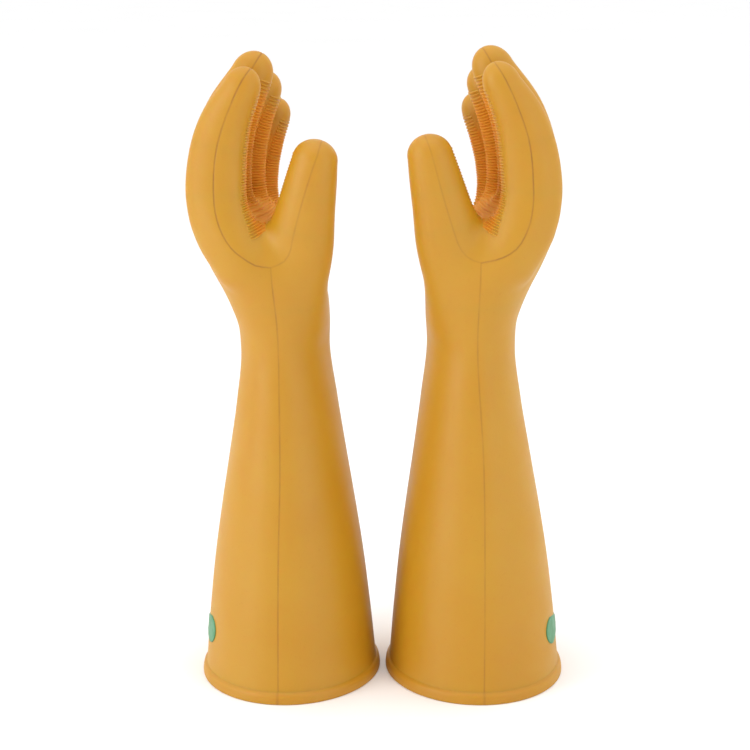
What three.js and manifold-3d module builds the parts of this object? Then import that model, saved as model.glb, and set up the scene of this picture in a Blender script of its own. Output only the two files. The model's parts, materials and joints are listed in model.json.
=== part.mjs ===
// A pair of long electrical insulating gloves, standing on their cuffs with the palms facing.
// Units are millimetres, +Z is up the gauntlets, and the floor is at Z = 0.
//
// Each glove is one thin-walled rubber moulding that is open at the cuff. It bends at its wrist,
// at two creases in each finger and at two creases in the thumb, so it is built as one hollow skin
// and divided there. Every crease is a round barrel about the axis that it bends on: the piece
// beyond the crease ends in the barrel, and the piece before it is hollowed to suit.
//
// A glove is drawn as a left-hand one in its own frame: +X is the way the palm faces, -Y is the
// thumb and index side, and +Z runs to the fingertips. The right-hand glove is its mirror image.

import * as THREE from 'three';
import { LoftGeometry } from 'three/addons/geometries/LoftGeometry.js';
import { mergeVertices } from 'three/addons/utils/BufferGeometryUtils.js';
import Module from 'manifold-3d';

const wasm = await Module();
wasm.setup();

// ---------------------------------------------------------------- driving dimensions

const GLOVE_LENGTH = 460;
const WALL = 2.8;
const GAP = 0.5; // clearance between pieces that touch
const SIDES_SLEEVE = 24;
const SIDES_DIGIT = 12;

const BEAD_HEIGHT = 8.4;
const BEAD_OVERHANG = 2.3; // how far the rolled rim stands out from the sleeve

const LABEL_CENTRE_Z = 40;
const LABEL_LENGTH = 84;
const LABEL_HEIGHT = 20;
const LABEL_THICKNESS = 0.9;

const WRIST_Z = 250;

// A crease: its barrel's radius over the half depth that it encloses, the barrel's sides, the
// depth of the space beyond it over that radius, and how far that space reaches.
const LOWER_CREASE = { factor: 1.1, sides: 16, room: 3.2, reach: 90 };
const UPPER_CREASE = { factor: 1.1, sides: 16, room: 3.2, reach: 60 };
const WRIST_CREASE = { factor: 1.07, sides: 28, room: 8, reach: 260 };
const FINGER_SIDE_ROOM = 0.5; // how far a crease's barrel passes a finger on each side
const THUMB_SIDE_ROOM = 4;
const WRIST_SIDE_ROOM = 40;

// How each glove stands: the place of its cuff, the turn of its palm towards -Y in degrees, its
// length, and how it stands out of plumb: `lean` and `bow` move its top towards the palm side, in
// a straight line and in a curve. The pair is hand-dipped, so the gloves differ a little.
const STANCE = {
  left: { x: -67.5, turn: 8, length: 460, lean: -9, bow: 4 },
  right: { x: 70, turn: 4.5, length: 464, lean: 2, bow: 8 },
};

// Level stations up the gauntlet, through the wrist and up the palm to the webs between the
// fingers: height, middle x, half depth (X), half width (Y).
const TRUNK = [
  { z: 0, x: 0, depth: 64.4, width: 75.5 },
  { z: 50, x: 0.3, depth: 59.6, width: 69.5 },
  { z: 92, x: 0.7, depth: 54.8, width: 64.5 },
  { z: 131, x: 1.1, depth: 49, width: 59.5 },
  { z: 170, x: 1.5, depth: 42.6, width: 54.5 },
  { z: 211, x: 1.9, depth: 36.2, width: 49.5 },
  { z: WRIST_Z, x: 1.4, depth: 31.8, width: 46 },
  { z: 270, x: 0.6, depth: 33, width: 47.5 },
  { z: 290, x: -4.5, depth: 36, width: 52 },
  { z: 312, x: -15, depth: 36.5, width: 57 },
  { z: 334, x: -27, depth: 33.5, width: 59.5 },
  { z: 348, x: -34.5, depth: 28.5, width: 59 },
  { z: 356, x: -37, depth: 22.5, width: 56 },
  { z: 360, x: -37.5, depth: 14, width: 50 },
];

// A finger lies in the plane of its y. Its stations run from inside the palm to the fingertip:
// middle x, height, half depth square to the finger and half width. `tip` is the length of the
// round end, and `lower` and `upper` place the two creases along the stations.
const FINGERS = {
  index: {
    y: -44.2,
    stations: [
      { x: -31, z: 338, depth: 20, width: 13.6 },
      { x: -36, z: 360, depth: 20, width: 14.2 },
      { x: -35.5, z: 382, depth: 19.4, width: 14.2 },
      { x: -28.5, z: 414, depth: 16.2, width: 14 },
      { x: -17.3, z: 438, depth: 12, width: 12.2 },
    ],
    tip: 16,
    lower: 0.5,
    upper: 0.77,
  },
  middle: {
    y: -14.8,
    stations: [
      { x: -34, z: 338, depth: 21, width: 13.6 },
      { x: -39.8, z: 360, depth: 22, width: 14.2 },
      { x: -40, z: 382, depth: 21.6, width: 14.2 },
      { x: -32.5, z: 414, depth: 18.8, width: 14.2 },
      { x: -16, z: 446, depth: 14.2, width: 12.6 },
    ],
    tip: 17,
    lower: 0.48,
    upper: 0.74,
  },
  ring: {
    y: 14.8,
    stations: [
      { x: -31, z: 338, depth: 20, width: 13.6 },
      { x: -34.5, z: 360, depth: 20.5, width: 14.2 },
      { x: -33.5, z: 382, depth: 19.4, width: 14.2 },
      { x: -25.5, z: 410, depth: 16.6, width: 14 },
      { x: -14.5, z: 432, depth: 13, width: 12.4 },
    ],
    tip: 15,
    lower: 0.5,
    upper: 0.77,
  },
  little: {
    y: 43.4,
    stations: [
      { x: -25.5, z: 336, depth: 17.5, width: 12.6 },
      { x: -28.5, z: 356, depth: 17.6, width: 13.2 },
      { x: -27, z: 374, depth: 17, width: 13.2 },
      { x: -20, z: 396, depth: 14.6, width: 12.8 },
      { x: -12.5, z: 411, depth: 11.8, width: 11.4 },
    ],
    tip: 14,
    lower: 0.5,
    upper: 0.77,
  },
};

// The thumb leaves the palm's index side and stands in front of it.
const THUMB = {
  stations: [
    { x: 6, y: -18, z: 280, depth: 27, width: 20 },
    { x: 13.5, y: -27, z: 305, depth: 27, width: 20 },
    { x: 20, y: -35, z: 330, depth: 24.5, width: 18.5 },
    { x: 25.6, y: -41, z: 356, depth: 20.4, width: 16.8 },
    { x: 30.8, y: -44.5, z: 380, depth: 17.4, width: 15.4 },
    { x: 33, y: -45.5, z: 391, depth: 15.8, width: 14.2 },
  ],
  tip: 14.5,
  sideRoom: THUMB_SIDE_ROOM,
  lower: 0.6,
  upper: 0.84,
};

// ---------------------------------------------------------------- materials

const rubber = new THREE.MeshStandardMaterial({ color: 0xd89a3a, roughness: 0.45, metalness: 0 });
const rim = new THREE.MeshStandardMaterial({ color: 0xcf9034, roughness: 0.5, metalness: 0 });
const patch = new THREE.MeshStandardMaterial({ color: 0x3fa86a, roughness: 0.55, metalness: 0 });

// ---------------------------------------------------------------- solids

function toSolid(geometry) {
  geometry.deleteAttribute('normal');
  geometry.deleteAttribute('uv');
  const merged = mergeVertices(geometry);
  const vertProperties = new Float32Array(merged.attributes.position.array);
  const triVerts = new Uint32Array(merged.index.array);
  return new wasm.Manifold(new wasm.Mesh({ numProp: 3, vertProperties, triVerts }));
}

function toGeometry(solid) {
  const mesh = solid.getMesh();
  const geometry = new THREE.BufferGeometry();
  geometry.setAttribute('position', new THREE.BufferAttribute(mesh.vertProperties, 3));
  geometry.setIndex(new THREE.BufferAttribute(mesh.triVerts, 1));
  geometry.computeVertexNormals();
  return geometry;
}

function placed(geometry, matrix) {
  return toSolid(geometry.applyMatrix4(matrix));
}

// An oval ring of points about a centre, with `normal` and `across` as its two half axes.
function oval(centre, normal, across, depth, width, sides) {
  const points = [];
  for (let i = 0; i < sides; i += 1) {
    const angle = (2 * Math.PI * i) / sides;
    points.push(
      centre
        .clone()
        .addScaledVector(normal, depth * Math.cos(angle))
        .addScaledVector(across, width * Math.sin(angle)),
    );
  }
  return points;
}

function loft(sections) {
  return toSolid(new LoftGeometry(sections, { closed: true, capStart: true, capEnd: true }));
}

// ---------------------------------------------------------------- one glove's skin

// Stations as one glove stands: stretched to its length, and out of plumb by its lean and bow.
function stood(stations, { length, lean, bow }) {
  return stations.map((station) => {
    const height = station.z / GLOVE_LENGTH;
    return { ...station, x: station.x + lean * height + bow * height ** 2, z: length * height };
  });
}

function levelAt(stations, z) {
  const upper = Math.max(stations.findIndex((station) => station.z >= z), 1);
  const a = stations[upper - 1];
  const b = stations[upper];
  const share = (z - a.z) / (b.z - a.z);
  return {
    x: THREE.MathUtils.lerp(a.x, b.x, share),
    depth: THREE.MathUtils.lerp(a.depth, b.depth, share),
    width: THREE.MathUtils.lerp(a.width, b.width, share),
  };
}

function levelOval(stations, z, grow) {
  const { x, depth, width } = levelAt(stations, z);
  const centre = new THREE.Vector3(x, 0, z);
  const normal = new THREE.Vector3(1, 0, 0);
  const across = new THREE.Vector3(0, 1, 0);
  return oval(centre, normal, across, depth + grow, width + grow, SIDES_SLEEVE);
}

// A loft of level ovals between two heights, grown by `grow` all round.
function levelLoft(stations, grow, from, to) {
  const inside = stations.map((station) => station.z).filter((z) => z > from && z < to);
  return loft([from, ...inside, to].map((z) => levelOval(stations, z, grow)));
}

// A digit's centre line, with its half depth and half width anywhere along it.
function digitAt({ stations, y }, share) {
  const points = stations.map((station) => new THREE.Vector3(station.x, station.y ?? y, station.z));
  const sizes = stations.map((station) => new THREE.Vector2(station.depth, station.width));
  const curve = new THREE.CatmullRomCurve3(points, false, 'centripetal');
  const size = new THREE.SplineCurve(sizes).getPoint(share);
  const along = curve.getTangent(share);
  const normal = new THREE.Vector3(0, 1, 0).cross(along).normalize();
  const across = along.clone().cross(normal);
  return { centre: curve.getPoint(share), along, normal, across, depth: size.x, width: size.y };
}

// A digit's loft with a round tip, grown by `grow`. A negative `grow` gives the hollow inside.
function digitLoft(digit, grow) {
  const spans = 5;
  const capRings = 3;
  const sections = [];
  for (let i = 0; i <= spans; i += 1) {
    const { centre, normal, across, depth, width } = digitAt(digit, i / spans);
    sections.push(oval(centre, normal, across, depth + grow, width + grow, SIDES_DIGIT));
  }
  const end = digitAt(digit, 1);
  for (let i = 1; i <= capRings; i += 1) {
    const turn = (0.94 * Math.PI * i) / (2 * capRings);
    const rise = (digit.tip + grow) * Math.sin(turn);
    const centre = end.centre.clone().addScaledVector(end.along, rise);
    const depth = (end.depth + grow) * Math.cos(turn);
    const width = (end.width + grow) * Math.cos(turn);
    sections.push(oval(centre, end.normal, end.across, depth, width, SIDES_DIGIT));
  }
  return loft(sections);
}

function gloveSkin(trunk, digits) {
  const top = trunk[trunk.length - 1].z;
  let skin = levelLoft(trunk, 0, BEAD_HEIGHT + GAP, top);
  let hollow = levelLoft(trunk, -WALL, 0, top - WALL);
  for (const digit of Object.values(digits)) {
    skin = skin.add(digitLoft(digit, 0));
    hollow = hollow.add(digitLoft(digit, -WALL));
  }
  return skin.subtract(hollow);
}

// ---------------------------------------------------------------- dividing it at the creases

// A crease has its own frame: local Z runs along the digit and local Y is the axis it bends on.
function creaseAt(origin, along, depth, side, style) {
  const axis = new THREE.Vector3(0, 1, 0);
  const forward = new THREE.Vector3(along.x, 0, along.z).normalize();
  const frame = new THREE.Matrix4().makeBasis(axis.clone().cross(forward), axis, forward);
  frame.setPosition(origin);
  return { ...style, origin, frame, radius: depth * style.factor, side };
}

function digitCrease(digit, share, style) {
  const { centre, along, depth, width } = digitAt(digit, share);
  const room = digit.sideRoom ?? FINGER_SIDE_ROOM;
  return creaseAt(centre, along, depth, width + room, style);
}

function wristCrease(trunk, z) {
  const { x, depth, width } = levelAt(trunk, z);
  const up = new THREE.Vector3(0, 0, 1);
  const origin = new THREE.Vector3(x, 0, z);
  return creaseAt(origin, up, depth, width + WRIST_SIDE_ROOM, WRIST_CREASE);
}

// The space beyond a crease: the barrel about its axis, and a block from the axis outwards.
function beyondCrease({ frame, radius, side, sides, room, reach }, clearance) {
  const size = radius + clearance;
  const span = 2 * (side + clearance);
  const barrel = new THREE.CylinderGeometry(size, size, span, sides);
  const block = new THREE.BoxGeometry(room * radius, span, reach);
  block.translate(0, 0, reach / 2);
  return placed(barrel, frame).add(placed(block, frame));
}

// Takes the piece beyond a crease off a solid, and returns both.
function divide(solid, crease) {
  return {
    beyond: solid.intersect(beyondCrease(crease, 0)),
    before: solid.subtract(beyondCrease(crease, GAP)),
  };
}

// ---------------------------------------------------------------- cuff

// The rolled rim: a rounded band with a flat foot, round the foot of the sleeve.
function beadSolid(trunk) {
  const profile = [
    { z: 0, out: BEAD_OVERHANG - 1.5 },
    { z: 0.9, out: BEAD_OVERHANG - 0.5 },
    { z: 2.4, out: BEAD_OVERHANG },
    { z: BEAD_HEIGHT - 2.4, out: BEAD_OVERHANG },
    { z: BEAD_HEIGHT - 0.9, out: BEAD_OVERHANG - 0.6 },
    { z: BEAD_HEIGHT, out: BEAD_OVERHANG - 1.6 },
  ];
  const outside = loft(profile.map(({ z, out }) => levelOval(trunk, z, out)));
  return outside.subtract(levelLoft(trunk, -WALL, -1, BEAD_HEIGHT + 1));
}

// The class patch: a thin stadium laid on the back of the sleeve, square to the glove's -X.
function labelSolid(trunk) {
  const end = LABEL_HEIGHT / 2;
  const straight = LABEL_LENGTH / 2 - end;
  const outline = new THREE.Shape();
  outline.absarc(straight, 0, end, -Math.PI / 2, Math.PI / 2, false);
  outline.absarc(-straight, 0, end, Math.PI / 2, (3 * Math.PI) / 2, false);
  const depth = 80;
  const punch = new THREE.ExtrudeGeometry(outline, { depth, bevelEnabled: false, curveSegments: 6 });
  const frame = new THREE.Matrix4().makeBasis(
    new THREE.Vector3(0, 1, 0),
    new THREE.Vector3(0, 0, 1),
    new THREE.Vector3(1, 0, 0),
  );
  frame.setPosition(-depth - 10, 0, LABEL_CENTRE_Z);
  const from = LABEL_CENTRE_Z - LABEL_HEIGHT;
  const to = LABEL_CENTRE_Z + LABEL_HEIGHT;
  const outer = levelLoft(trunk, GAP + LABEL_THICKNESS, from, to);
  const inner = levelLoft(trunk, GAP, from - 1, to + 1);
  return outer.subtract(inner).intersect(placed(punch, frame));
}

// ---------------------------------------------------------------- assembly

function meshAt(solid, name, material, origin) {
  const geometry = toGeometry(solid);
  geometry.translate(-origin.x, -origin.y, -origin.z);
  const mesh = new THREE.Mesh(geometry, material.clone());
  mesh.name = name;
  return mesh;
}

// A group that turns on a crease, placed in its parent group's frame.
function hingeGroup(name, origin, parentOrigin) {
  const group = new THREE.Group();
  group.name = `${name}_hinge`;
  group.position.copy(origin).sub(parentOrigin);
  return group;
}

function makeGlove(side) {
  const stance = STANCE[side];
  const ground = new THREE.Vector3();
  const trunk = stood(TRUNK, stance);
  const digits = {};
  for (const [name, digit] of Object.entries({ ...FINGERS, thumb: THUMB })) {
    digits[name] = { ...digit, stations: stood(digit.stations, stance) };
  }

  const glove = new THREE.Group();
  const wrist = wristCrease(trunk, (WRIST_Z * stance.length) / GLOVE_LENGTH);
  const { beyond, before } = divide(gloveSkin(trunk, digits), wrist);
  glove.add(meshAt(beadSolid(trunk), `${side}_cuff_bead`, rim, ground));
  glove.add(meshAt(before, `${side}_gauntlet`, rubber, ground));
  glove.add(meshAt(labelSolid(trunk), `${side}_class_label`, patch, ground));

  const handGroup = hingeGroup(`${side}_hand`, wrist.origin, ground);
  let hand = beyond;
  for (const [name, digit] of Object.entries(digits)) {
    const lower = digitCrease(digit, digit.lower, LOWER_CREASE);
    const upper = digitCrease(digit, digit.upper, UPPER_CREASE);
    const whole = divide(hand, lower);
    const parts = divide(whole.beyond, upper);
    hand = whole.before;
    const lowerGroup = hingeGroup(`${side}_${name}_lower`, lower.origin, wrist.origin);
    const upperGroup = hingeGroup(`${side}_${name}_upper`, upper.origin, lower.origin);
    lowerGroup.add(meshAt(parts.before, `${side}_${name}_lower`, rubber, lower.origin));
    upperGroup.add(meshAt(parts.beyond, `${side}_${name}_upper`, rubber, upper.origin));
    lowerGroup.add(upperGroup);
    handGroup.add(lowerGroup);
  }
  handGroup.add(meshAt(hand, `${side}_hand`, rubber, wrist.origin));
  glove.add(handGroup);

  const mirror = side === 'left' ? 1 : -1;
  glove.position.x = stance.x;
  glove.rotation.z = THREE.MathUtils.degToRad(-mirror * stance.turn);
  glove.scale.x = mirror;
  return glove;
}

const pair = new THREE.Group();
pair.add(makeGlove('left'));
pair.add(makeGlove('right'));

export default pair;
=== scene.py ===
import json
import math

import bpy
import numpy as np
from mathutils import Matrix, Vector

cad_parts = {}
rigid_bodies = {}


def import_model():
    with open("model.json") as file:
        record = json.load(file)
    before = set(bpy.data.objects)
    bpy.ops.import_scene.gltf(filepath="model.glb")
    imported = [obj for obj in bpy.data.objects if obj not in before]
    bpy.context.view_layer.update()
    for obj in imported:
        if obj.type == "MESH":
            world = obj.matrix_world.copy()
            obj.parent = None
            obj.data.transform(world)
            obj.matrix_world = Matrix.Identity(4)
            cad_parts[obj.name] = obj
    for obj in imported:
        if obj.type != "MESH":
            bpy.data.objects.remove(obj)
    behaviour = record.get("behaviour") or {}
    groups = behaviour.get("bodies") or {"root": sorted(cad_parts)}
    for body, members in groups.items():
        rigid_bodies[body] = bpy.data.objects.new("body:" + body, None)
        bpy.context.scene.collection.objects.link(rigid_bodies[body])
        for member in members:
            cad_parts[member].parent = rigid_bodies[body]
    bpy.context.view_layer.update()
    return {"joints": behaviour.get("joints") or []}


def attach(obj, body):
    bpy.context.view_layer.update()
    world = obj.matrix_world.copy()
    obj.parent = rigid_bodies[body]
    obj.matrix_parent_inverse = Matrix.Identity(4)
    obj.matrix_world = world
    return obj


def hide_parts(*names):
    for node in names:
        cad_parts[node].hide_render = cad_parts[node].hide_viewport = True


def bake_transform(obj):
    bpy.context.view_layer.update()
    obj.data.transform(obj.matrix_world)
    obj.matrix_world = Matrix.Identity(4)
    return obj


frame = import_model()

# A pair of long insulating gloves: one smooth rubber skin each, with grip ribs, a mould seam, a
# rolled cuff and a class patch. Lengths below are millimetres in a glove's own frame: +X is the
# way the palm faces, -Y the thumb side, +Z the fingertips. The right glove is the mirror image.

MM = 0.001

GLOVE_LENGTH = 460
WALL = 2.8
SKIN_FOOT = 3.5  # where the skin starts, hidden by the bead
WRIST_CUT = 284
WRIST_BEND = 30  # the ends of a span this far on each side of the wrist are found, but not used
FINGER_CUT = 16.3
FINGER_BEND = 14
THUMB_CUT = 13
THUMB_BEND = 11

BEAD_HEIGHT = 8.4
BEAD_OVERHANG = 2.3
LABEL_Z = 38.5
LABEL_LENGTH = 84
LABEL_HEIGHT = 20
LABEL_THICKNESS = 0.9

RIB_PITCH = 2.3
PALM_RIB_PITCH = 3.2
RIB_HEIGHT = 0.8
RIB_SPREAD = 0.14  # more of the index's width ribbed at the fork
RIBS_START = (315.5, 319)  # heights where the ribs come in
RIB_FLOOR = 296  # no rib is measured below this
THUMB_RIBS_START = (50, 56)  # lengths up the thumb where its ribs come in
THUMB_HOLDS_BACK = 5  # the palm's ribs run on this far over the thumb's root
RIB_SLOPES = (-0.3, 0.6)  # of a cosine: a rib rises between these, with a flat groove below
SEAM_DEPTH = 0.3
SEAM_WIDTH = 0.5
SEAM_REACH = 3  # a seam is only measured on skin this near to its line's box
FAR_STRENGTH = 0.7  # of the seam over the fingertips and up the little-finger side
SEAM_CLEARANCE = 12  # below the webs a seam marks only skin this far from the middle plane
INDEX_EDGE = 29.5  # the index lies beyond this on the thumb side
LITTLE_MIDDLE = 43.4  # the little finger's middle line is this far out on the other side
TIP_SEAM = 10  # the seam over a fingertip starts this far short of its middle line's end
TIP_SEAM_WIDTH = 20  # and marks only skin this near to the middle line

WEB_HEIGHTS = (345, 357)  # the fingers come apart between these heights
WEB_SOFTNESS = (7.2, 1.2)  # how softly neighbouring fingers join below and above the webs
ROOT_END = 14.0  # how a digit rounds off inside the palm
FINGER_ROOM = 14.7  # half of a finger's share of the palm's width
THUMB_BACK = -4  # no part of the thumb lies behind this x

STANCE = {
    "left": {"x": -67.5, "turn": 8, "length": 460, "lean": -9, "bow": 4, "hand": 1},
    "right": {"x": 70, "turn": 4.5, "length": 464, "lean": 2, "bow": 8, "hand": -1},
}

# The sleeve, wrist and palm at each height: z, middle x, half depth along X, half width along Y.
TRUNK = np.array([
    (-10, 0.0, 65.6, 76.8),
    (0, 0.0, 64.4, 75.5),
    (50, 0.3, 59.6, 69.5),
    (92, 0.7, 54.8, 64.5),
    (131, 1.1, 49.0, 59.5),
    (170, 1.5, 42.6, 54.5),
    (211, 1.9, 36.2, 49.5),
    (250, 1.4, 31.8, 46.0),
    (270, 0.6, 33.0, 47.5),
    (290, -4.5, 36.0, 52.0),
    (312, -15.0, 36.5, 57.0),
    (334, -27.0, 33.0, 58.5),
    (348, -34.5, 27.0, 57.0),
    (358, -37.5, 21.0, 54.0),
])
TRUNK_TOP = 357
TRUNK_ROUNDING = 9  # how softly the palm is rounded at its top
HAND_START = 240  # every digit lies above this height
FAR_OFF = 60.0  # a distance well outside any digit

# Each digit's stations: middle x, y, z, half depth square to it, half width; then its round tip.
DIGITS = {
    "index": ([
        (-21.5, -44.2, 316, 17.0, 12.4),
        (-31.0, -44.2, 338, 20.8, 13.2),
        (-37.2, -44.2, 360, 21.2, 13.4),
        (-36.9, -44.2, 382, 20.8, 13.3),
        (-30.2, -44.2, 414, 17.9, 12.9),
        (-18.2, -44.2, 438.6, 13.2, 11.6),
    ], 16.0),
    "middle": ([
        (-34.0, -14.8, 338, 21.0, 13.2),
        (-39.4, -14.8, 360, 21.6, 13.3),
        (-39.8, -14.8, 382, 21.4, 13.2),
        (-33.1, -14.8, 414, 19.5, 13.0),
        (-16.5, -14.8, 446, 14.7, 11.8),
    ], 17.0),
    "ring": ([
        (-31.0, 14.8, 338, 20.0, 13.2),
        (-34.5, 14.8, 360, 20.5, 13.3),
        (-33.5, 14.8, 382, 19.4, 13.2),
        (-25.5, 14.8, 410, 16.6, 12.9),
        (-14.5, 14.8, 432, 13.0, 11.6),
    ], 15.0),
    "little": ([
        (-25.5, 43.4, 336, 17.5, 12.2),
        (-28.5, 43.4, 356, 17.6, 12.6),
        (-27.0, 43.4, 374, 17.0, 12.5),
        (-20.0, 43.4, 396, 14.6, 12.0),
        (-12.5, 43.4, 411, 11.8, 10.8),
    ], 14.0),
    "thumb": ([
        (5.0, -18.0, 280, 24.5, 20.0),
        (12.5, -27.0, 305, 25.2, 20.0),
        (19.6, -35.0, 330, 24.0, 18.5),
        (25.6, -41.0, 356, 20.4, 16.8),
        (30.8, -44.5, 380, 17.4, 15.4),
        (33.0, -45.5, 391, 15.8, 14.2),
    ], 14.5),
}
FINGERS = ("index", "middle", "ring", "little")

# The mould seam in side view, as x and z: up the sleeve, round the fork of thumb and index, and
# up both digits on the thumb side, and straight up to the little finger on the far side. Each
# line has its own strength.
SEAMS = {
    "left": [
        (0.6, [(3.3, 0), (4.4, 113), (5.5, 164), (4.9, 236), (4.5, 281), (2.2, 316.5)]),
        (0.85, [(2.2, 316.5), (-7.3, 318), (-15.6, 323.3), (-24, 330.5), (-29.5, 338.9),
               (-34.8, 354.1), (-36, 375.7), (-34, 395), (-24.2, 426.2), (-14.2, 447),
               (-10, 454)]),
        (0.45, [(2.2, 316.5), (11.2, 320.6), (15.8, 327.4), (17.7, 335.1), (33.6, 386.4),
                (37.6, 398.4), (38.4, 406)]),
    ],
    "right": [
        (0.5, [(1.6, 0), (0.3, 80.5), (-0.5, 169.5), (2.2, 261.3), (0.1, 317.3)]),
        (0.85, [(0.1, 317.3), (-13.9, 321.4), (-24.4, 328.1), (-32, 341), (-36.3, 359.2),
               (-36.4, 376.4), (-34.2, 400.5), (-26.8, 424.4), (-14.9, 449.9), (-11, 456)]),
        (0.35, [(0.1, 317.3), (8, 320.2), (11.7, 323.6), (15.5, 330), (18.6, 339.2),
                (27, 368), (34, 396), (37, 406)]),
    ],
}
SEAM_FAR = [(1.5, 0), (1.5, 250), (-1, 280), (-10, 310), (-22, 335), (-28.5, 356), (-27, 374),
            (-20, 396), (-12.5, 411), (-8, 424)]


# ---------------------------------------------------------------- small maths

def step(a, b, x):
    t = np.clip((x - a) / (b - a), 0, 1)
    return t * t * (3 - 2 * t)


def smooth_min(a, b, k):
    h = np.maximum(k - np.abs(a - b), 0) / k
    return np.minimum(a, b) - h * h * k * 0.25


def smooth_max(a, b, k):
    return -smooth_min(-a, -b, k)


def through(keys, values, at):
    """A smooth curve through values at rising keys."""
    slope = np.gradient(values, keys, axis=0)
    i = np.clip(np.searchsorted(keys, at) - 1, 0, len(keys) - 2)
    span = (keys[i + 1] - keys[i])[:, None]
    t = (at - keys[i])[:, None] / span
    a, b = values[i], values[i + 1]
    return (
        (2 * t**3 - 3 * t**2 + 1) * a
        + (t**3 - 2 * t**2 + t) * span * slope[i]
        + (3 * t**2 - 2 * t**3) * b
        + (t**3 - t**2) * span * slope[i + 1]
    )


def lerp_rows(place, rows):
    """Rows of an evenly spaced table at fractional places in it."""
    i = np.clip(place.astype(int), 0, len(rows) - 2)
    t = (place - i)[:, None]
    return rows[i] * (1 - t) + rows[i + 1] * t


def unit(rows):
    return rows / np.maximum(np.linalg.norm(rows, axis=1, keepdims=True), 1e-9)


def oval_distance(parts, sizes):
    """About how far a point is outside an oval, from its coordinates and the half axes."""
    k0 = np.sqrt(sum((a / b) ** 2 for a, b in zip(parts, sizes)))
    k1 = np.sqrt(sum((a / b**2) ** 2 for a, b in zip(parts, sizes)))
    return k0 * (k0 - 1) / np.maximum(k1, 1e-6)


# ---------------------------------------------------------------- the glove's form

TRUNK_FOOT, TRUNK_END = TRUNK[0, 0], TRUNK[-1, 0]
TRUNK_ROWS = through(TRUNK[:, 0], TRUNK[:, 1:], np.arange(TRUNK_FOOT, TRUNK_END + 1))


DIGIT_STEPS = 120  # even steps along a digit in its table
SPARSE = 4  # every fourth row is enough to find the nearest place


class Digit:
    """A finger or thumb: oval sections along a bent middle line, and a round tip."""

    def __init__(self, stations, tip, merge):
        rows = np.array(stations, float)
        chord = np.r_[0, np.cumsum(np.linalg.norm(np.diff(rows[:, :3], axis=0), axis=1))]
        dense = through(chord, rows, np.linspace(0, chord[-1], 400))
        s = np.r_[0, np.cumsum(np.linalg.norm(np.diff(dense[:, :3], axis=0), axis=1))]
        self.length = s[-1]
        even = np.linspace(0, s[-1], DIGIT_STEPS + 1)
        dense = np.stack([np.interp(even, s, dense[:, i]) for i in range(5)], 1)
        self.centre = dense[:, :3]
        self.tip = tip
        along = unit(np.gradient(self.centre, axis=0))
        normal = unit(np.cross([0, 1, 0], along))
        across = np.cross(along, normal)
        # Columns: middle 0-2, along 3-5, normal 6-8, across 9-11, half depth 12, half width 13.
        self.table = np.hstack([self.centre, along, normal, across, dense[:, 3:]])
        reach = merge + 1 + dense[:, 3:].max()
        self.low = self.centre.min(0) - reach
        self.high = self.centre.max(0) + reach

    def near(self, p):
        return np.all((p > self.low) & (p < self.high), axis=1)

    def coordinates(self, p, rounds=0):
        """Length along it, places along its normal, across it and past its ends, and its half
        depth and half width there."""
        sparse = self.table[::SPARSE]
        gap = (sparse[:, :3] ** 2).sum(1)[None] - 2 * p @ sparse[:, :3].T
        which = np.argmin(gap, axis=1)
        near = sparse[which]
        s = which * SPARSE * self.length / DIGIT_STEPS
        s = s + ((p - near[:, :3]) * near[:, 3:6]).sum(1)
        for _ in range(rounds):
            row = self.rows(s)
            s = np.clip(s, 0, self.length) + ((p - row[:, :3]) * row[:, 3:6]).sum(1)
        row = self.rows(s)
        q = p - row[:, 0:3]
        past = np.where((s > self.length) | (s < 0), (q * row[:, 3:6]).sum(1), 0)
        u = (q * row[:, 6:9]).sum(1)
        v = (q * row[:, 9:12]).sum(1)
        return s, u, v, past, row[:, 12], row[:, 13]

    def distance(self, p):
        out = np.full(len(p), FAR_OFF)
        near = self.near(p)
        if near.any():
            out[near] = self.outside(*self.coordinates(p[near])[1:])
        return out

    def outside(self, u, v, past, depth, width):
        end = np.where(past > 0, self.tip, ROOT_END)
        return oval_distance((u, v, past), (depth, width, end))

    def rows(self, s):
        return lerp_rows(np.clip(s, 0, self.length) * DIGIT_STEPS / self.length, self.table)

    def at(self, s):
        return self.rows(np.array([s]))[0]

    def nearest(self, point):
        return self.coordinates(np.array([point]), 2)[0][0]


FINGER_MERGE = 8  # how softly the fingers leave the palm
THUMB_MERGE = 18
HAND = {
    name: Digit(*DIGITS[name], THUMB_MERGE if name == "thumb" else FINGER_MERGE)
    for name in DIGITS
}


def trunk_row(z):
    return lerp_rows(np.clip(z, TRUNK_FOOT, TRUNK_END) - TRUNK_FOOT, TRUNK_ROWS)


def trunk_distance(p):
    row = trunk_row(p[:, 2])
    side = oval_distance((p[:, 0] - row[:, 0], p[:, 1]), (row[:, 1], row[:, 2]))
    return smooth_max(side, p[:, 2] - TRUNK_TOP, TRUNK_ROUNDING)


def form(p):
    """Signed distance, about, from the glove's outside."""
    out = trunk_distance(p)
    high = p[:, 2] > HAND_START
    if not high.any():
        return out
    q = p[high]
    fingers = np.full(len(q), FAR_OFF)
    below, above = WEB_SOFTNESS
    web = above + (below - above) * (1 - step(*WEB_HEIGHTS, q[:, 2]))
    for name in FINGERS:
        fingers = smooth_min(fingers, HAND[name].distance(q), web)
    hand = smooth_min(out[high], fingers, FINGER_MERGE)
    out[high] = smooth_min(hand, HAND["thumb"].distance(q), THUMB_MERGE)
    return out


def gradient(p):
    """The form's value at each point, and its slope."""
    base = form(p)
    e = 0.25
    return base, np.stack([(form(p + e * axis) - base) / e for axis in np.eye(3)], 1)


def settle(p, level, rounds):
    """Moves points onto the form grown by level."""
    for _ in range(rounds):
        value, slope = gradient(p)
        move = (value - level)[:, None] * slope / np.maximum((slope**2).sum(1), 0.2)[:, None]
        p = p - np.clip(move, -1.5, 1.5)
    return p


# ---------------------------------------------------------------- meshing it

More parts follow.
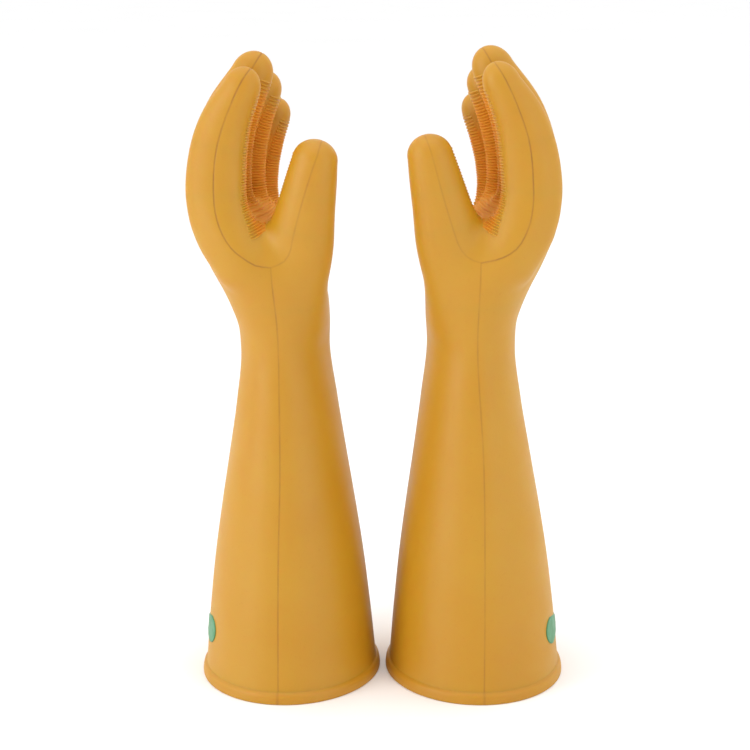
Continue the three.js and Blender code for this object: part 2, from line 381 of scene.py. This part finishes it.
def surface_net(xs, ys, zs, level):
    """Triangles of the form's surface on a rectangular grid."""
    values = np.empty((len(xs), len(ys), len(zs)), np.float32)
    gx, gy = np.meshgrid(xs, ys, indexing="ij")
    for k, z in enumerate(zs):
        p = np.stack([gx.ravel(), gy.ravel(), np.full(gx.size, z)], 1)
        values[:, :, k] = form(p).reshape(gx.shape) - level
    inside = values < 0
    shape = np.array(values.shape)
    corner = np.array([(i, j, k) for i in (0, 1) for j in (0, 1) for k in (0, 1)])

    def shifted(array, c):
        n = shape - 1
        return array[c[0]:c[0] + n[0], c[1]:c[1] + n[1], c[2]:c[2] + n[2]]

    count = sum(shifted(inside, c).astype(np.int8) for c in corner)
    cells = np.argwhere((count > 0) & (count < 8))
    index = np.full(shape - 1, -1, np.int64)
    index[tuple(cells.T)] = np.arange(len(cells))
    at = [values[tuple((cells + c).T)] for c in corner]
    total = np.zeros((len(cells), 3))
    crossings = np.zeros(len(cells))
    for a in range(8):
        for b in range(a + 1, 8):
            if np.abs(corner[a] - corner[b]).sum() != 1:
                continue
            crosses = (at[a] < 0) != (at[b] < 0)
            t = np.where(crosses, at[a] / np.where(crosses, at[a] - at[b], 1), 0)
            place = corner[a] + t[:, None] * (corner[b] - corner[a])
            total += place * crosses[:, None]
            crossings += crosses
    inner = total / crossings[:, None]
    points = np.empty_like(inner)
    for axis, line in enumerate((xs, ys, zs)):
        start = line[cells[:, axis]]
        points[:, axis] = start + inner[:, axis] * (line[cells[:, axis] + 1] - start)
    quads = []
    for axis in range(3):
        b, c = (axis + 1) % 3, (axis + 2) % 3
        first = np.take(inside, range(shape[axis] - 1), axis)
        second = np.take(inside, range(1, shape[axis]), axis)
        edges = np.argwhere(first != second)
        ok = (edges[:, b] > 0) & (edges[:, b] < shape[b] - 1)
        ok &= (edges[:, c] > 0) & (edges[:, c] < shape[c] - 1)
        edges = edges[ok]
        out = first[tuple(edges.T)]
        ring = []
        for db, dc in ((-1, -1), (0, -1), (0, 0), (-1, 0)):
            cell = edges.copy()
            cell[:, b] += db
            cell[:, c] += dc
            ring.append(index[tuple(cell.T)])
        quad = np.stack(ring, 1)
        quad[~out] = quad[~out][:, ::-1]
        quads.append(quad)
    quads = np.vstack(quads)
    d1 = np.linalg.norm(points[quads[:, 0]] - points[quads[:, 2]], axis=1)
    d2 = np.linalg.norm(points[quads[:, 1]] - points[quads[:, 3]], axis=1)
    quads = np.where((d1 <= d2)[:, None], quads, np.roll(quads, -1, axis=1))
    return points, np.vstack([quads[:, [0, 1, 2]], quads[:, [0, 2, 3]]])


def split_edges(rows, tris, wanted, share):
    """Splits edges where wanted(a, b), at share(a, b) of their length, and every triangle to suit."""
    n = len(rows)
    ends = tris[:, [[0, 1], [1, 2], [2, 0]]].reshape(-1, 2)
    key = np.minimum(ends[:, 0], ends[:, 1]) * n + np.maximum(ends[:, 0], ends[:, 1])
    unique, which = np.unique(key, return_inverse=True)
    a, b = unique // n, unique % n
    cut = wanted(a, b)
    t = share(a[cut], b[cut])[:, None]
    fresh = rows[a[cut]] * (1 - t) + rows[b[cut]] * t
    number = np.full(len(unique), -1)
    number[cut] = n + np.arange(cut.sum())
    mid = number[which].reshape(-1, 3)
    split = mid >= 0
    count = split.sum(1)
    done = [tris[count == 0]]
    one = count == 1
    turn = np.argmax(split[one], axis=1)
    pick = (turn[:, None] + np.arange(3)) % 3
    p = np.take_along_axis(tris[one], pick, 1)
    m = np.take_along_axis(mid[one], pick, 1)[:, 0]
    done += [np.stack([p[:, 0], m, p[:, 2]], 1), np.stack([m, p[:, 1], p[:, 2]], 1)]
    two = count == 2
    turn = (np.argmin(split[two], axis=1) + 2) % 3
    pick = (turn[:, None] + np.arange(3)) % 3
    p = np.take_along_axis(tris[two], pick, 1)
    m = np.take_along_axis(mid[two], pick, 1)
    done += [
        np.stack([p[:, 0], m[:, 0], m[:, 2]], 1),
        np.stack([m[:, 0], p[:, 1], p[:, 2]], 1),
        np.stack([m[:, 0], p[:, 2], m[:, 2]], 1),
    ]
    three = count == 3
    p, m = tris[three], mid[three]
    done += [
        np.stack([p[:, 0], m[:, 0], m[:, 2]], 1),
        np.stack([m[:, 0], p[:, 1], m[:, 1]], 1),
        np.stack([m[:, 2], m[:, 1], p[:, 2]], 1),
        m,
    ]
    return np.vstack([rows, fresh]), np.vstack(done)


def refine(p, tris, wanted):
    """Splits in four the triangles with a wanted corner."""
    chosen = tris[wanted[tris].any(1)]
    ends = chosen[:, [[0, 1], [1, 2], [2, 0]]].reshape(-1, 2)
    n = len(p)
    keys = np.unique(np.minimum(ends[:, 0], ends[:, 1]) * n + np.maximum(ends[:, 0], ends[:, 1]))
    return split_edges(
        p,
        tris,
        lambda a, b: np.isin(a * n + b, keys),
        lambda a, b: np.full(len(a), 0.5),
    )


def geometric_normals(p, tris):
    face = np.cross(p[tris[:, 1]] - p[tris[:, 0]], p[tris[:, 2]] - p[tris[:, 0]])
    out = np.zeros_like(p)
    for i in range(3):
        for axis in range(3):
            out[:, axis] += np.bincount(tris[:, i], face[:, axis], len(p))
    return unit(out)


# ---------------------------------------------------------------- ribs and seam

def line_distance(p, line):
    """Distance from a bent line drawn in x and z."""
    best = np.full(len(p), 1e3)
    q = p[:, [0, 2]]
    for a, b in zip(line[:-1], line[1:]):
        a, b = np.array(a, float), np.array(b, float)
        d = b - a
        t = np.clip((q - a) @ d / (d @ d), 0, 1)
        best = np.minimum(best, np.linalg.norm(q - a - t[:, None] * d, axis=1))
    return best


def smooth_line(points):
    rows = np.array(points, float)
    chord = np.r_[0, np.cumsum(np.linalg.norm(np.diff(rows, axis=0), axis=1))]
    return through(chord, rows, np.linspace(0, chord[-1], max(12, int(chord[-1] / 5))))


SEAM_LINES = {
    side: [(strength, smooth_line(line)) for strength, line in lines]
    for side, lines in SEAMS.items()
}
SEAM_FAR_LINE = smooth_line(SEAM_FAR)


def beside(p, line):
    """Whether each point is near the box of a line drawn in x and z."""
    out = np.ones(len(p), bool)
    for axis, column in ((0, line[:, 0]), (2, line[:, 1])):
        out &= p[:, axis] > column.min() - SEAM_REACH
        out &= p[:, axis] < column.max() + SEAM_REACH
    return out


def seam_distance(p, side):
    """Distance from the nearest seam, and how strongly it marks each point.

    A seam marks only the skin on its own side of the glove, and only the digit it runs up.
    """
    nearest = np.full(len(p), 1e3)
    mark = np.zeros(len(p))

    def draw(where, distance, strength):
        nearest[where] = np.minimum(nearest[where], distance)
        groove = strength * np.exp(-((distance / SEAM_WIDTH) ** 2))
        mark[where] = np.maximum(mark[where], groove)

    below_webs = p[:, 2] < WEB_HEIGHTS[0]
    near = p[:, 1] < np.where(below_webs, -SEAM_CLEARANCE, -INDEX_EDGE)
    for strength, line in SEAM_LINES[side]:
        reach = near & beside(p, line)
        draw(reach, line_distance(p[reach], line), strength)
    far = p[:, 1] > np.where(below_webs, SEAM_CLEARANCE, LITTLE_MIDDLE)
    far &= beside(p, SEAM_FAR_LINE)
    draw(far, line_distance(p[far], SEAM_FAR_LINE), FAR_STRENGTH)
    for name in ("middle", "ring", "little"):
        digit = HAND[name]
        tip = digit.near(p) & (p[:, 2] > digit.centre[-1, 2] - 6)
        s, u, v, past, depth, width = digit.coordinates(p[tip], 1)
        over = (s > digit.length - TIP_SEAM) & (np.abs(v) < TIP_SEAM_WIDTH)
        draw(tip, np.where(over, np.abs(u), 1e3), FAR_STRENGTH)
    return nearest, mark


# Each grip function gives two values: one is above 0 on the ribbed part of a section, and the
# other is 1 deep inside the grip, where the rubber is rougher and gets painted shade. Places in a
# section are shares of its half depth, positive on a finger's palm side, and of its half width,
# positive towards the little finger.


def thumb_grip(deep, wide):
    """The side of the thumb that meets the index."""
    edge = 0.6 * wide - 0.8 * deep - 0.8
    return edge, step(0.0, 0.2, edge)


def index_grip(s, deep, wide):
    """The palm side of the index, and more of its width near the fork."""
    fork = RIB_SPREAD * (1 - step(30, 70, s)) + 0.25 * (1 - step(6, 30, s))
    edge = np.minimum(wide + 0.4 + fork, deep - 0.5)
    return edge, step(0.1, 0.5, edge)


def finger_grip(deep):
    edge = deep - 0.55
    return edge, step(-0.6, 0.05, edge)


def palm_grip(p):
    """The hollow of the palm, but not the edge under the index."""
    row = trunk_row(p[:, 2])
    edge = np.minimum((p[:, 0] - row[:, 0]) / row[:, 1] - 0.54, (p[:, 1] + 46) * 0.05)
    return edge, step(0.02, 0.2, edge)


def rib_field(p):
    """How far the grip ribs stand out, where they are, and where they are deep in the grip, which
    also masks painted shade.
    """
    height = np.zeros(len(p))
    zone = np.zeros(len(p))
    grip = np.zeros(len(p))
    high = p[:, 2] > RIB_FLOOR
    q = p[high]
    wave = np.zeros(len(q))
    mask = np.zeros(len(q))
    deep = np.zeros(len(q))
    nearest = np.full(len(q), 1e3)

    def lay(where, distance, edge, inner, covered, length, pitch):
        better = distance < nearest[where]
        i = np.flatnonzero(where)[better]
        nearest[i] = distance[better]
        mask[i] = covered[better] * step(0, 0.05, edge[better])
        deep[i] = inner[better]
        wave[i] = np.cos(2 * math.pi * length[better] / pitch)

    for name, digit in HAND.items():
        near = digit.near(q)
        s, u, v, past, depth, width = digit.coordinates(q[near], 1)
        distance = digit.outside(u, v, past, depth, width)
        covered = step(*RIBS_START, q[near, 2])
        covered *= 1 - step(digit.length + 1, digit.length + 3, s)
        if name == "thumb":
            distance += THUMB_HOLDS_BACK
            covered *= step(*THUMB_RIBS_START, s)
            edge, inner = thumb_grip(u / depth, v / width)
        elif name == "index":
            edge, inner = index_grip(s, u / depth, v / width)
        else:
            edge, inner = finger_grip(u / depth)
        inner = inner * (1 - step(digit.length - 16, digit.length + 2, s))
        lay(near, distance, edge, inner, covered, s, RIB_PITCH)
    edge, inner = palm_grip(q)
    covered = step(*RIBS_START, q[:, 2])
    inner = inner * covered
    lay(np.ones(len(q), bool), trunk_distance(q), edge, inner, covered, q[:, 2], PALM_RIB_PITCH)
    height[high] = RIB_HEIGHT * mask * step(*RIB_SLOPES, wave)
    zone[high] = mask
    grip[high] = deep
    return height, zone, grip


# Grid steps along X, along Y, up the sleeve and up the hand.
SKIN_STEPS = (1.6, 1.35, 3.0, 1.5)
LINING_STEPS = (3.2, 2.4, 6.0, 3.0)
GRID_X = (-70, 72)
GRID_Y = (-79, 80)
GRID_TOP = 470
REFINE_REACH = (2.2, 1.1)  # triangles this near a seam are split, in two rounds


def grid_lines(across, along, low, high):
    foot = np.arange(SKIN_FOOT - 1.5, HAND_START, low)
    hand = np.arange(HAND_START, GRID_TOP, high)
    return np.arange(*GRID_X, across), np.arange(*GRID_Y, along), np.r_[foot, hand]


def make_skin(side):
    """The outside of one glove: points, triangles, normals, and each point's seam and grip, the grip
    also masking painted shade.
    """
    p, tris = surface_net(*grid_lines(*SKIN_STEPS), 0)
    p = settle(p, 0, 3)
    for reach in REFINE_REACH:
        chosen = (rib_field(p)[1] > 0.01) | (seam_distance(p, side)[0] < reach)
        count = len(p)
        p, tris = refine(p, tris, chosen)
        p[count:] = settle(p[count:], 0, 1)
    normal = unit(gradient(p)[1])
    rib, zone, grip = rib_field(p)
    groove = seam_distance(p, side)[1]
    lift = rib - SEAM_DEPTH * groove
    p = p + normal * lift[:, None]
    carved = np.clip(zone * 4 + groove * 3, 0, 1)[:, None]
    normal = unit(normal * (1 - carved) + geometric_normals(p, tris) * carved)
    return p, tris, normal, np.stack([groove, grip], 1)


def make_lining():
    """The inside of one glove, facing its hollow."""
    p, tris = surface_net(*grid_lines(*LINING_STEPS), -WALL)
    p = settle(p, -WALL, 3)
    return p, tris[:, ::-1], -unit(gradient(p)[1]), np.zeros((len(p), 2))


# ---------------------------------------------------------------- placing it

def to_world(p, side):
    """Leans, bows, turns and places points from a glove's own frame, in metres."""
    st = STANCE[side]
    h = p[:, 2] / GLOVE_LENGTH
    x = p[:, 0] + st["lean"] * h + st["bow"] * h * h
    turn = math.radians(st["turn"])
    c, s = math.cos(turn), math.sin(turn)
    return MM * np.stack([
        st["x"] + st["hand"] * (x * c + p[:, 1] * s),
        -x * s + p[:, 1] * c,
        st["length"] * h,
    ], 1)


def to_local(point, side):
    """The way back, for one point."""
    st = STANCE[side]
    turn = math.radians(st["turn"])
    c, s = math.cos(turn), math.sin(turn)
    x = (point[0] / MM - st["x"]) * st["hand"]
    y = point[1] / MM
    z = point[2] / MM * GLOVE_LENGTH / st["length"]
    h = z / GLOVE_LENGTH
    return np.array([x * c - y * s - st["lean"] * h - st["bow"] * h * h, x * s + y * c, z])


def world_normals(p, normal, side):
    """Normals after placing: the same move applied to two small steps along the surface."""
    helper = np.where(np.abs(normal[:, [2]]) < 0.7, [[0.0, 0.0, 1.0]], [[1.0, 0.0, 0.0]])
    a = unit(np.cross(normal, helper))
    b = np.cross(normal, a)
    base = to_world(p, side)
    ta = to_world(p + a, side) - base
    tb = to_world(p + b, side) - base
    return unit(np.cross(ta, tb)) * STANCE[side]["hand"]


def add_mesh(name, p, tris, normal, marks, side, material):
    """A piece made from points in a glove's own frame; marks hold its seam and its grip zone, which
    also masks painted shade.
    """
    used, inverse = np.unique(tris, return_inverse=True)
    tris = inverse.reshape(-1, 3)
    p, normal, marks = p[used], normal[used], marks[used]
    if STANCE[side]["hand"] < 0:
        tris = tris[:, ::-1]
    mesh = bpy.data.meshes.new(name)
    mesh.vertices.add(len(p))
    mesh.vertices.foreach_set("co", to_world(p, side).astype(np.float32).ravel())
    mesh.loops.add(tris.size)
    mesh.loops.foreach_set("vertex_index", np.ascontiguousarray(tris).ravel().astype(np.int32))
    mesh.polygons.add(len(tris))
    mesh.polygons.foreach_set("loop_start", np.arange(0, tris.size, 3, dtype=np.int32))
    mesh.polygons.foreach_set("use_smooth", np.ones(len(tris), bool))
    mesh.update(calc_edges=True)
    for attribute, values in (("seam", marks[:, 0]), ("grip", marks[:, 1])):
        layer = mesh.attributes.new(attribute, "FLOAT", "POINT")
        layer.data.foreach_set("value", values.astype(np.float32))
    mesh.normals_split_custom_set_from_vertices(world_normals(p, normal, side))
    mesh.materials.append(material)
    obj = bpy.data.objects.new(name, mesh)
    bpy.context.scene.collection.objects.link(obj)
    return obj


def world_point(p, side):
    return Vector(to_world(np.array([p], float), side)[0])


JOINTS = {joint["name"]: joint for joint in frame["joints"]}


def joint_place(name, side):
    return to_local(JOINTS[name]["pos_m"], side)


class Cutter:
    """Splits one sheet of triangles into the pieces between a glove's creases."""

    def __init__(self, sheet):
        p, self.tris, normal, marks = sheet
        self.rows = np.hstack([p, normal, marks])

    def take(self, value):
        """Takes off the part where value(points) is above 0."""
        v = value(self.rows[:, :3])
        v = np.where(np.abs(v) < 1e-4, 1e-4, v)
        rows, tris = split_edges(
            self.rows,
            self.tris,
            lambda a, b: (v[a] > 0) != (v[b] > 0),
            lambda a, b: v[a] / (v[a] - v[b]),
        )
        centre = rows[tris, :3].mean(1)
        beyond = value(centre) > 0
        self.rows, self.tris = rows, tris[~beyond]
        return rows, tris[beyond]


def crease_plane(name, s):
    """Above 0 beyond the plane square to a digit at length s, and only on that digit."""
    digit = HAND[name]
    row = digit.at(s)

    def value(p):
        out = (p - row[:3]) @ row[3:6]
        if name == "thumb":
            other = p[:, 0] < THUMB_BACK
        else:
            other = np.abs(p[:, 1] - digit.centre[0, 1]) > FINGER_ROOM
            other |= HAND["thumb"].distance(p) < digit.distance(p)
        return np.where(other, np.minimum(out, -1.0), out)

    return value


def joined(first, second):
    (rows_a, tris_a), (rows_b, tris_b) = first, second
    rows = np.vstack([rows_a, rows_b])
    return rows, np.vstack([tris_a, tris_b + len(rows_a)])


def build_glove(side, lining, rubber):
    skin = make_skin(side)
    cutters = [Cutter(skin), Cutter(lining)]
    parts = {}
    bends = {}
    for name, digit in HAND.items():
        cut, bend = (THUMB_CUT, THUMB_BEND) if name == "thumb" else (FINGER_CUT, FINGER_BEND)
        lower = digit.nearest(joint_place(f"{side}_{name}_base_crease", side))
        upper = digit.nearest(joint_place(f"{side}_{name}_end_crease", side))
        between = (lower + upper) / 2
        ends = [cutter.take(crease_plane(name, between)) for cutter in cutters]
        bases = [cutter.take(crease_plane(name, lower - cut)) for cutter in cutters]
        parts[f"{name}_upper"] = joined(*ends)
        parts[f"{name}_lower"] = joined(*bases)
        reach = min(bend, between - lower)
        bends[f"{name}_lower"] = (f"{side}_palm", f"{side}_{name}_base", name, lower, reach)
        bends[f"{name}_upper"] = (f"{side}_{name}_base", f"{side}_{name}_end", name, upper, reach)
    parts["hand"] = joined(*[c.take(lambda p: p[:, 2] - WRIST_CUT) for c in cutters])
    parts["sleeve"] = joined(*[(c.rows, c.tris) for c in cutters])
    for part, (rows, tris) in parts.items():
        obj = add_mesh(f"{side}_{part}_skin", rows[:, :3], tris, unit(rows[:, 3:6]), rows[:, 6:],
                       side, rubber)
        if part == "hand":
            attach(obj, f"{side}_palm")
        elif part == "sleeve":
            wrist = joint_place(f"{side}_wrist", side)
            start = world_point(wrist - [0, 0, WRIST_BEND], side)
            end = world_point(wrist + [0, 0, WRIST_BEND], side)
            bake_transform(obj)
        else:
            a, b, name, s, reach = bends[part]
            digit = HAND[name]
            start = world_point(digit.at(s - reach)[:3], side)
            end = world_point(digit.at(s + reach)[:3], side)
            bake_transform(obj)
    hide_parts(f"{side}_hand")
    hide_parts(f"{side}_gauntlet")
    for name in HAND:
        for part in ("lower", "upper"):
            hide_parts(f"{side}_{name}_{part}")


# ---------------------------------------------------------------- cuff bead and label

def ring_mesh(profile, count):
    """A closed ring of sections round the sleeve, from offsets and heights."""
    turns = np.linspace(0, 2 * math.pi, count, endpoint=False)
    out, z = profile[:, 0], profile[:, 1]
    row = trunk_row(z)
    x = row[:, 0] + np.cos(turns)[:, None] * (row[:, 1] + out)
    y = np.sin(turns)[:, None] * (row[:, 2] + out)
    p = np.stack([x, y, np.broadcast_to(z, x.shape)], 2).reshape(-1, 3)
    n = len(profile)
    i, j = np.meshgrid(np.arange(count), np.arange(n), indexing="ij")
    a = i * n + j
    b = ((i + 1) % count) * n + j
    c = ((i + 1) % count) * n + (j + 1) % n
    d = i * n + (j + 1) % n
    quads = np.stack([a, b, c, d], 2).reshape(-1, 4)
    tris = np.vstack([quads[:, [0, 1, 2]], quads[:, [0, 2, 3]]])
    return p, tris


def rounded(points, rounds=2):
    """Cuts the corners of a closed outline."""
    for _ in range(rounds):
        after = np.roll(points, -1, axis=0)
        points = np.stack([points * 0.75 + after * 0.25, points * 0.25 + after * 0.75], 1)
        points = points.reshape(-1, 2)
    return points


def build_bead(side, material):
    h = BEAD_HEIGHT
    outline = np.array([
        (-WALL - 0.3, h + 1.0), (-WALL - 0.3, 0.6), (-WALL + 0.5, 0.0), (BEAD_OVERHANG - 0.8, 0.0),
        (BEAD_OVERHANG, 0.7), (BEAD_OVERHANG, h - 3.2), (BEAD_OVERHANG - 0.7, h - 0.9),
        (0.3, h - 0.1), (-0.6, h + 1.6),
    ])
    profile = rounded(outline)
    profile[:, 1] = np.maximum(profile[:, 1], 0)
    p, tris = ring_mesh(profile, 260)
    marks = np.stack([seam_distance(p, side)[1], np.zeros(len(p))], 1)
    obj = add_mesh(f"{side}_cuff_bead_skin", p, tris, geometric_normals(p, tris), marks, side,
                   material)
    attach(obj, f"{side}_sleeve")
    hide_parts(f"{side}_cuff_bead")


def build_label(side, material):
    r = LABEL_HEIGHT / 2
    straight = LABEL_LENGTH / 2 - r
    turn = np.linspace(0, 2 * math.pi, 128, endpoint=False)
    edge = np.stack([r * np.cos(turn) + straight * np.sign(np.cos(turn)), r * np.sin(turn)], 1)
    thick = LABEL_THICKNESS
    # Each ring's share of the way out from the middle, and how far it stands out of the sleeve.
    rings = [(0.0, thick), (0.3, thick), (0.55, thick), (0.75, thick), (0.9, thick),
             (0.955, thick - 0.03), (0.985, thick - 0.15), (1.0, thick - 0.45), (1.0, -0.6)]
    points = []
    for share, out in rings:
        yz = edge * share
        if share > 0.9:
            yz = edge - np.stack([np.cos(turn), np.sin(turn)], 1) * r * (1 - share)
        row = trunk_row(LABEL_Z + yz[:, 1])
        x = -row[:, 1] * np.sqrt(1 - (yz[:, 0] / row[:, 2]) ** 2)
        nx, ny = x / row[:, 1] ** 2, yz[:, 0] / row[:, 2] ** 2
        size = np.hypot(nx, ny)
        points.append(np.stack([
            row[:, 0] + x + out * nx / size, yz[:, 0] + out * ny / size, LABEL_Z + yz[:, 1],
        ], 1))
    p = np.vstack(points)
    n = len(turn)
    tris = []
    for k in range(len(rings) - 1):
        i = np.arange(n)
        a, b = k * n + i, k * n + (i + 1) % n
        c, d = a + n, b + n
        tris += [np.stack([a, c, d], 1), np.stack([a, d, b], 1)]
    tris = np.vstack(tris)
    face = np.cross(p[tris[:, 1]] - p[tris[:, 0]], p[tris[:, 2]] - p[tris[:, 0]])
    tris = tris[np.linalg.norm(face, axis=1) > 1e-9]
    if face[:, 0].sum() > 0:
        tris = tris[:, ::-1]
    obj = add_mesh(f"{side}_class_label_skin", p, tris, geometric_normals(p, tris),
                   np.zeros((len(p), 2)), side, material)
    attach(obj, f"{side}_sleeve")
    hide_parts(f"{side}_class_label")


# ---------------------------------------------------------------- materials

NOISE_ROUGHNESS = 0.55
RUBBER_TONES = ((0.512, 0.256, 0.008, 1), (0.50, 0.232, 0.004, 1))
RIM_TONES = ((0.505, 0.244, 0.008, 1), (0.49, 0.221, 0.004, 1))
SPECK = (0.45, 0.15, 0.002, 1)
# painted shade: a deeper, more saturated orange standing in for the shade and orange light thrown
# between the fingers and into the palm
PAINTED_SHADE_ORANGE = (0.70, 0.228, 0.001, 1)
SEAM_BROWN = (0.20, 0.05, 0.003, 1)
LABEL_GREENS = ((0.06, 0.23, 0.10, 1), (0.09, 0.29, 0.14, 1))
FLOOR_WHITES = ((0.95, 0.95, 0.95, 1), (0.965, 0.965, 0.965, 1))


class Nodes:
    """A material's node tree, built one node at a time."""

    def __init__(self, name):
        self.material = bpy.data.materials.new(name)
        self.material.use_nodes = True
        self.tree = self.material.node_tree
        self.shader = self.tree.nodes["Principled BSDF"]

    def add(self, kind, **inputs):
        node = self.tree.nodes.new(kind)
        for key, value in inputs.items():
            self.put(node, key, value)
        return node

    def put(self, node, key, value):
        """Feeds the input called key, with _ for a space, or input number N for a key _N."""
        name = int(key[1:]) if key[0] == "_" else key.replace("_", " ")
        self.feed(node.inputs[name], value)

    def feed(self, socket, value):
        if isinstance(value, bpy.types.NodeSocket):
            self.tree.links.new(value, socket)
        else:
            socket.default_value = value

    def attribute(self, name):
        node = self.tree.nodes.new("ShaderNodeAttribute")
        node.attribute_name = name
        return node.outputs["Fac"]

    def noise(self, scale, detail):
        place = self.add("ShaderNodeTexCoord").outputs["Object"]
        node = self.add("ShaderNodeTexNoise", Vector=place, Scale=scale, Detail=detail,
                        Roughness=NOISE_ROUGHNESS)
        return node.outputs["Fac"]

    def ramp(self, value, low, high, to_low, to_high):
        node = self.add("ShaderNodeMapRange", _0=value, _1=low, _2=high, _3=to_low, _4=to_high)
        return node.outputs[0]

    def mix(self, share, a, b):
        node = self.tree.nodes.new("ShaderNodeMix")
        node.data_type = "RGBA"
        for index, value in ((0, share), (6, a), (7, b)):
            self.feed(node.inputs[index], value)
        return node.outputs[2]

    def maths(self, operation, a, b):
        node = self.tree.nodes.new("ShaderNodeMath")
        node.operation = operation
        for socket, value in zip(node.inputs, (a, b)):
            self.feed(socket, value)
        return node.outputs[0]

    def bump(self, height, distance, strength):
        node = self.add("ShaderNodeBump", Height=height, Distance=distance, Strength=strength)
        return node.outputs["Normal"]


def rubber_material(name, tones, rough):
    """Satin rubber, with painted shade of deeper orange in the grip zone, and dark along the seam."""
    m = Nodes(name)
    cloudy = m.ramp(m.noise(14, 4), 0.35, 0.7, 0.0, 1.0)
    fine = m.ramp(m.noise(900, 2), 0.3, 0.7, 0.0, 1.0)
    colour = m.mix(cloudy, *tones)
    specks = m.ramp(m.noise(420, 3), 0.62, 0.74, 0.0, 0.22)
    colour = m.mix(specks, colour, SPECK)
    grip = m.attribute("grip")
    # painted shade: deep in the grip the colour turns a deeper orange, standing in for shade and
    # light thrown between fingers and palm
    colour = m.mix(m.maths("MULTIPLY", grip, 0.65), colour, PAINTED_SHADE_ORANGE)
    broken = m.ramp(m.noise(60, 3), 0.3, 0.6, 0.3, 0.75)
    dark = m.maths("MULTIPLY", m.attribute("seam"), broken)
    colour = m.mix(dark, colour, SEAM_BROWN)
    patchy = m.ramp(m.noise(30, 4), 0.3, 0.7, rough - 0.04, rough + 0.06)
    m.put(m.shader, "Base_Color", colour)
    m.put(m.shader, "Roughness", m.maths("ADD", patchy, m.maths("MULTIPLY", grip, 0.3)))
    m.put(m.shader, "IOR", 1.5)
    m.put(m.shader, "Subsurface_Weight", 0.4)
    m.put(m.shader, "Subsurface_Radius", (1.0, 0.35, 0.05))
    m.put(m.shader, "Subsurface_Scale", 0.008)
    m.put(m.shader, "Normal", m.bump(fine, 0.0002, 0.12))
    return m.material


def label_material(name):
    m = Nodes(name)
    mottled = m.ramp(m.noise(120, 4), 0.35, 0.65, 0.0, 1.0)
    colour = m.mix(mottled, *LABEL_GREENS)
    m.put(m.shader, "Base_Color", colour)
    m.put(m.shader, "Roughness", m.ramp(m.noise(200, 2), 0.3, 0.7, 0.42, 0.55))
    m.put(m.shader, "Normal", m.bump(m.noise(1500, 2), 0.0001, 0.1))
    return m.material


def floor_material():
    m = Nodes("pale_floor")
    tone = m.ramp(m.noise(3, 2), 0.3, 0.7, 0.0, 1.0)
    m.put(m.shader, "Base_Color", m.mix(tone, *FLOOR_WHITES))
    m.put(m.shader, "Roughness", 0.9)
    m.put(m.shader, "Specular_IOR_Level", 0.1)
    return m.material


# ---------------------------------------------------------------- build

RUBBER = rubber_material("glove_rubber_skin", RUBBER_TONES, 0.5)
RIM = rubber_material("cuff_rubber_skin", RIM_TONES, 0.52)
PATCH = label_material("class_label_skin")

LINING = make_lining()
for SIDE in ("left", "right"):
    build_glove(SIDE, LINING, RUBBER)
    build_bead(SIDE, RIM)
    build_label(SIDE, PATCH)

# ---------------------------------------------------------------- stage

# The white surroundings are weaker towards the viewer, whose side is -Y.
WORLD_FADE = {"From Min": -0.95, "From Max": -0.15, "To Min": 0.4, "To Max": 1.18}
CAMERA_PLACE = (-0.0046, -1.365, 0.567)
CAMERA_LENS = 92.2
CAMERA_DOWN = 14  # degrees below level

bpy.ops.mesh.primitive_plane_add(size=60)
floor = bpy.context.object
floor.name = "floor"
floor.data.materials.append(floor_material())

world = bpy.data.worlds.new("soft_white")
world.use_nodes = True
tree = world.node_tree
direction = tree.nodes.new("ShaderNodeTexCoord")
split = tree.nodes.new("ShaderNodeSeparateXYZ")
fade = tree.nodes.new("ShaderNodeMapRange")
for key, value in WORLD_FADE.items():
    fade.inputs[key].default_value = value
tree.links.new(direction.outputs["Generated"], split.inputs[0])
tree.links.new(split.outputs["Y"], fade.inputs[0])
tree.links.new(fade.outputs[0], tree.nodes["Background"].inputs["Strength"])
tree.nodes["Background"].inputs["Color"].default_value = (1, 1, 1, 1)
bpy.context.scene.world = world
bpy.context.scene.view_settings.view_transform = "Standard"


def area_light(name, place, target, size, power):
    data = bpy.data.lights.new(name, "AREA")
    data.shape = "RECTANGLE"
    data.size, data.size_y = size
    data.energy = power
    light = bpy.data.objects.new(name, data)
    light.location = place
    light.rotation_euler = (Vector(target) - Vector(place)).to_track_quat("-Z", "Y").to_euler()
    bpy.context.scene.collection.objects.link(light)


area_light("left_softbox", (-1.6, -1.0, 0.7), (0, 0, 0.25), (0.8, 1.6), 15)
area_light("right_softbox", (1.5, -1.4, 0.8), (0, 0, 0.25), (0.7, 1.6), 8)
area_light("top_softbox", (0, -0.6, 2.4), (0, 0, 0), (2.5, 2.5), 16)

camera_data = bpy.data.cameras.new("camera")
camera_data.lens = CAMERA_LENS
camera_data.sensor_width = 36
camera_data.clip_end = 200
camera = bpy.data.objects.new("camera", camera_data)
camera.location = CAMERA_PLACE
camera.rotation_euler = (math.radians(90 - CAMERA_DOWN), 0, 0)
bpy.context.scene.collection.objects.link(camera)
bpy.context.scene.camera = camera
